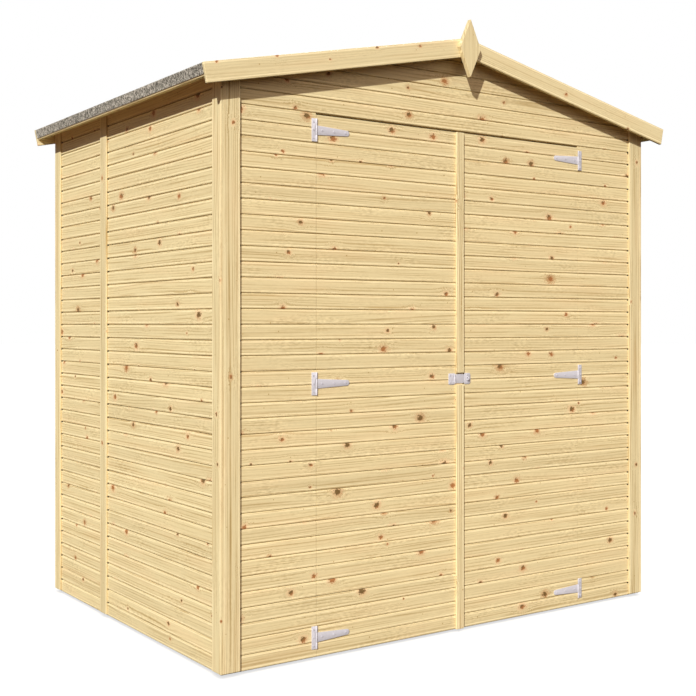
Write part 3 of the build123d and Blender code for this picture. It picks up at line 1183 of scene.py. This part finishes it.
@dataclass
class BoardedWall(SubAssembly):
    """One wall panel or door leaf of level boards, tongued together, with a V where their faces meet."""

    node: str
    face: Face
    body: Body
    roof: RoofLine
    rise: float = 50.0 * MM
    vee: float = 2.7 * MM
    inner_vee: float = 1.5 * MM
    tongue: float = 5.0 * MM
    tongue_set: float = 5.2 * MM
    tongue_thickness: float = 3.6 * MM
    slack: float = 0.6 * MM
    side_slack: float = 1.25 * MM
    family: str = ""
    seam_side: Side | None = None
    seam_closing: float = 1.8 * MM
    mouth: float = 6.0 * MM

    def build(self, finishes: Finishes) -> list[bpy.types.Object]:
        """Model one board, stack it and saw the stack to the panel's outline."""
        low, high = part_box(self.node)
        if self.seam_side:
            end = high if self.seam_side is Side.RIGHT else low
            end.x += self.seam_side.value * self.seam_closing
        top = Vector((high.x, high.y, low.z + self.rise - self.slack))
        wall = Workbench.block(self.node + "_boards", low, top)
        self.joint(wall, low, high)
        edges = self.trim_edges(low, high)
        for edge in edges:
            for step in (-self.mouth, self.mouth):
                Workbench.score(wall, self.face.along * (edge + step), self.face.along)
        rows = math.ceil((high.z - low.z - TOUCH) / self.rise)
        Workbench.repeat(wall, rows, Vector((0, 0, self.rise)))
        Workbench.cut(wall, high, Vector((0, 0, 1)))
        for side in Side:
            Workbench.cut(wall, self.roof.ridge, self.roof.outward(side))
        Grain.lay(wall, hidden=self.tongue, family=self.family, rise=self.rise)
        self.mark_mouths(wall, edges)
        return [finishes.dress(wall, Slot.CLADDING, self.body, self.node)]

    def trim_edges(self, low: Vector, high: Vector) -> list[float]:
        """Find where the edges of trims cross the panel.

        Args:
            low: The panel's lowest corner.
            high: The panel's highest corner.

        Returns:
            Places along the panel.
        """
        outward, along = self.face.outward, self.face.along
        plane = max(low.dot(outward), high.dot(outward))
        spots = [vert.co for node in EDGING for vert in frame["nodes"][node].data.vertices]
        on_face = [spot for spot in spots if abs(spot.dot(outward) - plane) < TOUCH]
        places = sorted({round(spot.dot(along) / TOUCH) * TOUCH for spot in on_face})
        margin = 2 * self.mouth
        return [place for place in places if low.dot(along) + margin < place < high.dot(along) - margin]

    def mark_mouths(self, wall: bpy.types.Object, edges: list[float]) -> None:
        """Mark the boards beside trim edges, where each groove runs into the dark under a trim and the
        finish paints shade.

        Args:
            wall: The boarded panel.
            edges: Places of the trim edges along it.
        """
        layer = wall.data.attributes.new("mouth", "FLOAT", "FACE")
        for face in wall.data.polygons:
            run = face.center.dot(self.face.along)
            layer.data[face.index].value = float(any(abs(run - edge) < self.mouth for edge in edges))

    def joint(self, board: bpy.types.Object, low: Vector, high: Vector) -> None:
        """Work the tongue, the groove and the V edges of one board.

        Args:
            board: The square board.
            low: The panel's lowest corner.
            high: The panel's highest corner.
        """
        outward = self.face.outward
        outer = max(low.dot(outward), high.dot(outward))
        inner = min(low.dot(outward), high.dot(outward))
        near = outer - self.tongue_set
        far = near - self.tongue_thickness
        for line in (near, far):
            Workbench.score(board, outward * line, outward)

        def in_tongue(face: bmesh.types.BMFace, up: int) -> bool:
            """Tell whether a face is the middle strip of the top or bottom edge."""
            return far < face.calc_center_median().dot(outward) < near and face.normal.z * up > FACING

        Workbench.raise_faces(board, lambda face: in_tongue(face, 1), Vector((0, 0, self.tongue)))
        groove = self.tongue + self.slack
        Workbench.raise_faces(board, lambda face: in_tongue(face, -1), Vector((0, 0, groove)))
        for plane, width in ((outer, self.vee), (inner, self.inner_vee)):
            Workbench.ease(board, lambda edge: self.on_face(edge, plane), width)

    def on_face(self, edge: bmesh.types.BMEdge, plane: float) -> bool:
        """Tell whether an edge runs along the board on its inner or outer face."""
        ends = [vert.co for vert in edge.verts]
        level = abs((ends[1] - ends[0]).normalized().dot(self.face.along)) > LINED_UP
        return level and all(abs(end.dot(self.face.outward) - plane) < TOUCH for end in ends)


@dataclass
class Timber(SubAssembly):
    """Planed or sawn timbers that keep their solids' shape, with eased edges."""

    node: str
    slot: Slot
    body: Body = Body.SHED
    arris: float = 1.5 * MM
    segments: int = 2
    upright: bool = False
    figure: float = 1.0
    sharp: float = 25.0

    def build(self, finishes: Finishes) -> list[bpy.types.Object]:
        """Copy the solids and ease their edges."""
        timber = Workbench.copy_of(self.node, self.node + "_timber")
        Workbench.round_edges(timber, self.arris, self.segments, self.sharp)
        Grain.lay(timber, self.upright, figure=self.figure)
        return [finishes.dress(timber, self.slot, self.body, self.node)]


@dataclass
class Planks:
    """A level bed of planks between two corners, laid side by side along X or Y."""

    name: str
    low: Vector
    high: Vector
    lie: Vector
    count: int
    top_arris: float
    under_arris: float

    def model(self) -> bpy.types.Object:
        """Model one plank and repeat it over the bed.

        Returns:
            The bed as one piece.
        """
        across = Vector((1, 1, 0)) - self.lie
        step = across * ((self.high - self.low).dot(across) / self.count)
        end = self.high - step * (self.count - 1)
        bed = Workbench.block(self.name, self.low, end)
        for height, width in ((self.high.z, self.top_arris), (self.low.z, self.under_arris)):
            Workbench.ease(bed, lambda edge: self.on_level(edge, height), width)
        Workbench.repeat(bed, self.count, step)
        return bed

    def on_level(self, edge: bmesh.types.BMEdge, height: float) -> bool:
        """Tell whether an edge runs along the plank at a height."""
        ends = [vert.co for vert in edge.verts]
        lengthwise = abs((ends[1] - ends[0]).normalized().dot(self.lie)) > LINED_UP
        return lengthwise and Workbench.level_at(edge, height)


@dataclass
class BoardedFloor(SubAssembly):
    """Floor boards that lie across the bearers."""

    node: str = "floor_deck"
    count: int = 14
    arris: float = 2.4 * MM

    def build(self, finishes: Finishes) -> list[bpy.types.Object]:
        """Model the boards over the deck's solid."""
        low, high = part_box(self.node)
        bed = Planks("floor_boards", low, high, Vector((1, 0, 0)), self.count, self.arris, self.arris)
        floor = bed.model()
        Grain.lay(floor)
        return [finishes.dress(floor, Slot.BOARDS, Body.SHED, self.node)]


@dataclass
class RoofSlope(SubAssembly):
    """One slope of the roof: boards along the ridge and the felt over them."""

    side: Side
    roof: RoofLine
    board_count: int = 11
    board_thickness: float = 12.0 * MM
    under_vee: float = 2.6 * MM
    arris: float = 0.6 * MM
    fold: float = 4.0 * MM
    fold_facets: int = 4
    lap_from: float = 95.0 * MM
    lap_to: float = 585.0 * MM
    lap_thickness: float = 1.5 * MM
    felt_thickness: float = 3.0 * MM
    hem_lift: float = 1.6 * MM
    bare_edge: float = 10.0 * MM
    lap_tone: float = -0.06

    @property
    def word(self) -> str:
        """The side's name."""
        return self.side.name.lower()

    def build(self, finishes: Finishes) -> list[bpy.types.Object]:
        """Model the boards, the felt and its upper lap."""
        return [self.boards(finishes), self.felt(finishes), self.lap(finishes)]

    def strip(
        self, start: float, end: float, low_z: float, high_z: float, ends: Span
    ) -> tuple[Vector, Vector]:
        """Corners of a level strip that is later tilted onto the slope.

        Args:
            start: Distance of its upper edge from the ridge.
            end: Distance of its lower edge from the ridge.
            low_z: Its underside above the deck's underside.
            high_z: Its top above the deck's underside.
            ends: Its front and back.

        Returns:
            The lowest and the highest corner.
        """
        runs = sorted((self.side.value * start, self.side.value * end))
        return Vector((runs[0], ends[0], low_z)), Vector((runs[1], ends[1], high_z))

    def boards(self, finishes: Finishes) -> bpy.types.Object:
        """Boards of the deck, with a V between them below."""
        node = self.word + "_roof_deck"
        low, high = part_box(node)
        overrun = self.board_thickness * self.roof.slope
        corners = self.strip(-overrun, self.roof.run_to(low.z), 0.0, self.board_thickness, (low.y, high.y))
        name = self.word + "_roof_boards"
        bed = Planks(name, *corners, Vector((0, 1, 0)), self.board_count, self.arris, self.under_vee)
        deck = bed.model()
        Workbench.place(deck, self.roof.tilt(self.side))
        Workbench.cut(deck, self.roof.ridge, Vector((-self.side.value, 0, 0)))
        Grain.lay(deck)
        return finishes.dress(deck, Slot.BOARDS, Body.SHED, node)

    def felt(self, finishes: Finishes) -> bpy.types.Object:
        """Felt of the slope, folded down over the eaves."""
        node = self.word + "_roof_felt"
        low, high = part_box(node)
        reach = max(abs(low.x), abs(high.x))
        felt = Workbench.copy_of(node, self.word + "_felt")

        def at_fold(edge: bmesh.types.BMEdge) -> bool:
            """Tell whether an edge is the outer line of the fold."""
            return all(abs(abs(vert.co.x) - reach) < TOUCH for vert in edge.verts)

        Workbench.ease(felt, at_fold, self.fold, self.fold_facets)
        hem = low.z + self.felt_thickness / 2
        Workbench.shift(felt, lambda vert: vert.co.z < hem, Vector((0, 0, self.hem_lift)))
        return finishes.dress(felt, Slot.FELT, Body.SHED, node)

    def lap(self, finishes: Finishes) -> bpy.types.Object:
        """Upper sheet of felt, which laps over the lower one."""
        low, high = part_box(self.word + "_roof_felt")
        under = self.board_thickness + self.felt_thickness
        corners = self.strip(self.lap_from, self.lap_to, under, under + self.lap_thickness, (low.y, high.y))
        lap = Workbench.block(self.word + "_felt_lap", *corners)
        top = under + self.lap_thickness
        Workbench.ease(lap, lambda edge: Workbench.level_at(edge, top), self.arris)
        edge_run = self.lap_to - self.bare_edge
        Workbench.score(lap, Vector((self.side.value * edge_run, 0, 0)), Vector((1, 0, 0)))
        FeltFinish.mark(lap, self.lap_tone, lambda spot: abs(spot.x) > edge_run)
        Workbench.place(lap, self.roof.tilt(self.side))
        return finishes.dress(lap, Slot.FELT, Body.SHED)


@dataclass
class RidgeFelt(SubAssembly):
    """Strip of felt over the ridge, held by rows of clout nails."""

    roof: RoofLine
    arris: float = 0.8 * MM
    nail_count: int = 14
    nail_radius: float = 4.5 * MM
    nail_thickness: float = 1.2 * MM
    nail_inset: float = 14.0 * MM
    nail_sides: int = 12
    nail_rim_share: float = 0.6
    segments: int = 2
    sharp: float = 60.0
    roof_thickness: float = 15.0 * MM
    strip_thickness: float = 3.0 * MM
    strip_reach: float = 110.0 * MM
    lap_reach: float = RoofSlope.lap_to
    lap_thickness: float = RoofSlope.lap_thickness
    end_inset: float = 45.0 * MM
    bare_edge: float = 10.0 * MM
    strip_tone: float = 0.06

    def build(self, finishes: Finishes) -> list[bpy.types.Object]:
        """Model the strip and the nails on both slopes."""
        strip = Workbench.copy_of("ridge_felt", "ridge_felt_strip")
        edge_run = (self.strip_reach - self.bare_edge) * math.cos(self.roof.pitch)
        for side in Side:
            Workbench.score(strip, Vector((side.value * edge_run, 0, 0)), Vector((1, 0, 0)))
        Workbench.round_edges(strip, self.arris, self.segments, self.sharp)
        FeltFinish.mark(strip, self.strip_tone, lambda spot: abs(spot.x) > edge_run)
        finishes.dress(strip, Slot.FELT, Body.SHED, "ridge_felt")
        rows = []
        edges = ((self.strip_reach, self.strip_thickness), (self.lap_reach, self.lap_thickness))
        for side in Side:
            for reach, cover in edges:
                rows.append(self.row(side, reach - self.nail_inset, self.roof_thickness + cover))
        nails = Workbench.join(rows, "roof_nails")
        return [strip, finishes.dress(nails, Slot.ZINC, Body.SHED)]

    def row(self, side: Side, run: float, height: float) -> bpy.types.Object:
        """One row of nail heads along the ridge.

        Args:
            side: The slope that the row is on.
            run: Distance from the ridge down the slope.
            height: Height over the deck's underside.

        Returns:
            The row as one piece.
        """
        low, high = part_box("ridge_felt")
        row = Workbench.disc("nail_row", self.nail_radius, self.nail_thickness, self.nail_sides)
        top = self.nail_thickness
        rim = top * self.nail_rim_share
        Workbench.ease(row, lambda edge: Workbench.level_at(edge, top), rim, self.segments)
        first = low.y + self.end_inset
        span = high.y - self.end_inset - first
        Workbench.place(row, Matrix.Translation((side.value * run, first, height)))
        Workbench.repeat(row, self.nail_count, Vector((0, span / (self.nail_count - 1), 0)))
        Workbench.place(row, self.roof.tilt(side))
        return row


@dataclass
class Fitting(SubAssembly):
    """Pressed metal that keeps its solid's shape, with eased edges, and the screws that hold it."""

    node: str
    body: Body
    screws: list[Point]
    seam_side: Side | None = None
    seam_closing: float = 2.2 * MM
    seam_reach: float = 9.0 * MM
    arris: float = 0.35 * MM
    segments: int = 2
    sharp: float = 50.0
    smooth: float = 35.0
    head_radius: float = 3.1 * MM
    head_rise: float = 1.4 * MM
    head_sides: int = 16
    recess: float = 1.3 * MM
    recess_rim_share: float = 0.5
    recess_wall_share: float = 0.05

    def build(self, finishes: Finishes) -> list[bpy.types.Object]:
        """Copy the solids, ease their edges and drive the screws."""
        metal = Workbench.copy_of(self.node, self.node + "_metal")
        if self.seam_side:
            self.close_seam(metal)
        Workbench.round_edges(metal, self.arris, self.segments, self.sharp)
        bpy.ops.object.shade_smooth_by_angle(angle=math.radians(self.smooth))
        pieces = [finishes.dress(metal, Slot.ZINC, self.body, self.node)]
        heads = [self.screw(place) for place in self.screws]
        if heads:
            screws = Workbench.join(heads, self.node + "_screws")
            pieces.append(finishes.dress(screws, Slot.ZINC, self.body))
        return pieces

    def close_seam(self, metal: bpy.types.Object) -> None:
        """Draw the plate's end out towards the plate that it meets."""
        side = self.seam_side.value
        low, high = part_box(self.node)
        end = max(side * low.x, side * high.x) - self.seam_reach
        move = Vector((side * self.seam_closing, 0, 0))
        Workbench.shift(metal, lambda point: point.co.x * side > end, move)

    def screw(self, place: Point) -> bpy.types.Object:
        """Flat round screw head with a recess, its seat at a place and its top towards the front.

        Args:
            place: Middle of the head's seat.

        Returns:
            The screw head.
        """
        head = Workbench.disc("screw_head", self.head_radius, self.head_rise, self.head_sides)
        with Workbench.edit(head, Pick.FACES):
            Workbench.choose(head, Pick.FACES, lambda face: Workbench.level_at(face, self.head_rise))
            bpy.ops.mesh.inset(thickness=self.head_radius * self.recess_rim_share)
            bpy.ops.mesh.inset(thickness=self.head_radius * self.recess_wall_share, depth=-self.recess)
        Workbench.place(head, Matrix.Translation(place) @ Matrix.Rotation(math.pi / 2, 4, "X"))
        return head


@dataclass
class Ironmongery(SubAssembly):
    """Hinges of both doors, the hasp and its keeper."""

    metal: float = 2.0 * MM
    flange_height: float = 76.0 * MM
    flange_screw_in: float = 12.0 * MM
    flange_screw_up: float = 27.0 * MM
    strap_screws: Point = (22.0 * MM, 70.0 * MM, 117.0 * MM)
    hasp_width: float = 29.0 * MM
    hasp_screw_in: float = 7.0 * MM
    keeper_screw_in: float = 6.5 * MM

    def build(self, finishes: Finishes) -> list[bpy.types.Object]:
        """Model the hinges, the hasp and the keeper with their screws."""
        low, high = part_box("hinge_flanges")
        foot = low.z + self.flange_height / 2
        head = high.z - self.flange_height / 2
        heights = (foot, (foot + head) / 2, head)
        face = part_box("left_door_leaf")[0].y - self.metal
        axis = {side: joint["pos_m"][0] for side, joint in zip(Side, frame["joints"])}
        flange_screws = []
        strap_screws: dict[Side, list[Point]] = {side: [] for side in Side}
        for side in Side:
            for height in heights:
                x = axis[side] + side.value * self.flange_screw_in
                for step in (-self.flange_screw_up, 0.0, self.flange_screw_up):
                    flange_screws.append((x, face, height + step))
                for run in self.strap_screws:
                    strap_screws[side].append((axis[side] - side.value * run, face, height))
        fittings = [
            Fitting("hinge_flanges", Body.SHED, flange_screws),
            Fitting("left_hinge_straps", Body.LEFT_DOOR, strap_screws[Side.LEFT]),
            Fitting("right_hinge_straps", Body.RIGHT_DOOR, strap_screws[Side.RIGHT]),
            Fitting("hasp_plate", Body.LEFT_DOOR, self.hasp_screws(face), Side.RIGHT),
            Fitting("hasp_keeper", Body.RIGHT_DOOR, self.keeper_screws(face), Side.LEFT),
        ]
        return [piece for fitting in fittings for piece in fitting.build(finishes)]

    def hasp_screws(self, face: float) -> list[Point]:
        """Places of the four screws in the hasp's fixed plate, on a face."""
        low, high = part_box("hasp_plate")
        across = (low.x + self.hasp_screw_in, low.x + self.hasp_width - self.hasp_screw_in)
        up = (low.z + self.hasp_screw_in, high.z - self.hasp_screw_in)
        return [(x, face, z) for x in across for z in up]

    def keeper_screws(self, face: float) -> list[Point]:
        """Places of the two screws in the keeper's plate, on a face."""
        low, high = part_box("hasp_keeper")
        middle = (low.x + high.x) / 2
        return [(middle, face, z) for z in (low.z + self.keeper_screw_in, high.z - self.keeper_screw_in)]


@dataclass(frozen=True)
class SunLamp:
    """A far studio lamp."""

    name: str
    travel: Point
    strength: float
    colour: Colour
    spread: float
    shadows: bool = True

    def build(self, lit: bpy.types.Collection) -> bpy.types.Object:
        """Hang the lamp.

        Args:
            lit: What the lamp shines on.

        Returns:
            The lamp.
        """
        light = bpy.data.lights.new(self.name, "SUN")
        light.energy = self.strength
        light.color = self.colour
        light.angle = math.radians(self.spread)
        light.use_shadow = self.shadows
        lamp = bpy.data.objects.new(self.name, light)
        lamp.rotation_euler = Vector(self.travel).to_track_quat("-Z", "Y").to_euler()
        lamp.light_linking.receiver_collection = lit
        bpy.context.scene.collection.objects.link(lamp)
        return lamp


@dataclass
class Studio:
    """Camera, lamps, backdrop and floor."""

    camera_place: Point = (-2.6705, -3.834, 1.108)
    camera_yaw: float = -34.79
    camera_lens: float = 58.74
    camera_shift: float = -0.0338
    floor_radius: float = 60.0
    floor_sides: int = 96
    sky_colour: Colour = (0.95, 0.95, 1.05)
    sky_strength: float = 0.20
    sky_edge: float = 0.08
    key: SunLamp = SunLamp(
        "key_lamp", (1.30, 1.0, -0.91), strength=4.2, colour=(0.98, 1.0, 0.975), spread=1.0
    )
    front: SunLamp = SunLamp(
        "front_lamp", (0.1, 1.0, -0.8), strength=1.03, colour=(1.0, 0.775, 0.60), spread=80.0
    )
    bounce: SunLamp = SunLamp(
        "bounce_lamp", (0.7, 0.25, 0.7), strength=0.50, colour=(1.0, 0.58, 0.36), spread=60.0
    )
    rear: SunLamp = SunLamp(
        "rear_lamp", (-0.75, -0.9, -0.8), strength=3.2, colour=(1.0, 0.985, 0.96), spread=12.0
    )
    ground: SunLamp = SunLamp(
        "floor_lamp", (0.0, 0.0, -1.0), strength=0.05, colour=WHITE, spread=90.0
    )
    glow: SunLamp = SunLamp(
        "floor_glow", (0.0, 0.0, -1.0), strength=3.18, colour=WHITE, spread=90.0, shadows=False
    )

    def build(self, pieces: list[bpy.types.Object]) -> None:
        """Set the shed in its studio.

        Args:
            pieces: The shed's pieces.
        """
        self.camera()
        self.backdrop()
        shed = bpy.data.collections.new("shed_pieces")
        for piece in pieces:
            shed.objects.link(piece)
        stage = bpy.data.collections.new("stage_pieces")
        stage.objects.link(self.floor())
        for lamp in (self.key, self.front, self.bounce, self.rear):
            lamp.build(shed)
        for lamp in (self.ground, self.glow):
            lamp.build(stage)
        bpy.context.scene.view_settings.view_transform = "Standard"

    def camera(self) -> None:
        """Stand the camera at the photograph's angle, level and shifted down."""
        camera = bpy.data.cameras.new("camera")
        camera.lens = self.camera_lens
        camera.shift_y = self.camera_shift
        stand = bpy.data.objects.new("camera", camera)
        stand.location = self.camera_place
        stand.rotation_euler = (math.pi / 2, 0, math.radians(self.camera_yaw))
        bpy.context.scene.collection.objects.link(stand)
        bpy.context.scene.camera = stand

    def backdrop(self) -> None:
        """Plain white backdrop that gives only a weak fill, from above the floor."""
        world = bpy.data.worlds.new("backdrop")
        world.use_nodes = True
        bpy.context.scene.world = world
        sheet = NodeSheet(world.node_tree)
        seen = sheet.out("ShaderNodeLightPath", {}, {}, "Is Camera Ray")
        _, _, height = sheet.split(sheet.out("ShaderNodeTexCoord", {}, {}, "Generated"))
        above = height.between(-self.sky_edge, self.sky_edge) * self.sky_strength
        sky = sheet.out("ShaderNodeBackground", {}, {"Color": (*self.sky_colour, 1.0), "Strength": above})
        white = sheet.out("ShaderNodeBackground", {}, {"Color": (*WHITE, 1.0), "Strength": 1.0})
        both = sheet.out("ShaderNodeMixShader", {}, {0: seen, 1: sky, 2: white})
        sheet.node("ShaderNodeOutputWorld", {}, {"Surface": both})

    def floor(self) -> bpy.types.Object:
        """Wide pale floor.

        Returns:
            The floor.
        """
        bpy.ops.object.select_all(action="DESELECT")
        size = {"vertices": self.floor_sides, "radius": self.floor_radius}
        bpy.ops.mesh.primitive_circle_add(fill_type="NGON", **size)
        floor = Workbench.named("studio_floor")
        floor.data.materials.append(StudioFloorFinish().material("studio_floor"))
        floor.visible_diffuse = False
        floor.visible_glossy = False
        return floor


def walls(roof: RoofLine) -> list[SubAssembly]:
    """Boarded panels of the four walls and the two doors.

    Args:
        roof: The line that the walls are sawn to.

    Returns:
        One sub-assembly for each panel.
    """
    panels = {
        Face.FRONT: ("front_gable",),
        Face.LEFT: ("left_front_panel", "left_rear_panel"),
        Face.RIGHT: ("right_front_panel", "right_rear_panel"),
        Face.BACK: ("back_left_panel", "back_right_panel"),
    }
    built = []
    for face, nodes in panels.items():
        slack = BoardedWall.slack if face is Face.FRONT else BoardedWall.side_slack
        built += [BoardedWall(node, face, Body.SHED, roof, slack=slack) for node in nodes]
    hung = {
        Side.LEFT: ("front_left_wall", "left_door_leaf", Body.LEFT_DOOR),
        Side.RIGHT: ("front_right_wall", "right_door_leaf", Body.RIGHT_DOOR),
    }
    for side, (wall, leaf, door) in hung.items():
        inward = Side(-side.value)
        built.append(BoardedWall(wall, Face.FRONT, Body.SHED, roof, family="front", seam_side=inward))
        built.append(BoardedWall(leaf, Face.FRONT, door, roof, family="front", seam_side=side))
    return built


def timbers() -> list[SubAssembly]:
    """Trims, barge boards, framing and door backs.

    Returns:
        One sub-assembly for each node.
    """
    trim = {"slot": Slot.TRIM, "arris": 2.0 * MM, "segments": 3}
    barges = ("front_left_barge", "front_right_barge", "rear_left_barge", "rear_right_barge")
    framing = ("floor_bearers", "side_wall_posts", "side_wall_rails", "gable_wall_posts", "gable_wall_rails")
    built: list[SubAssembly] = [Timber(node, **trim) for node in EDGING]
    built += [Timber(node, figure=0.35, **trim) for node in barges]
    built.append(Timber("finial", Slot.TRIM, arris=0.8 * MM, upright=True, figure=0.7))
    built.append(Timber("meeting_strip", body=Body.LEFT_DOOR, **trim))
    built += [Timber(node, Slot.FRAMING) for node in framing + ("ridge_purlin", "eaves_battens")]
    for body in (Body.LEFT_DOOR, Body.RIGHT_DOOR):
        built += [Timber(f"{body.value}_{back}", Slot.FRAMING, body) for back in ("ledges", "braces")]
    return built


def main() -> None:
    """Build the shed and its studio, and log the face count of each piece."""
    logging.basicConfig(level=logging.INFO, format="%(name)s %(message)s")
    finishes = Finishes()
    roof = RoofLine.of_frame()
    assemblies = walls(roof) + timbers() + [BoardedFloor()]
    assemblies += [RoofSlope(side, roof) for side in Side] + [RidgeFelt(roof), Ironmongery()]
    pieces: list[bpy.types.Object] = []
    for assembly in assemblies:
        for piece in assembly.build(finishes):
            LOG.info("%s: %d faces", piece.name, len(piece.data.polygons))
            pieces.append(piece)
    Studio().build(pieces)


if __name__ == "__main__":
    main()
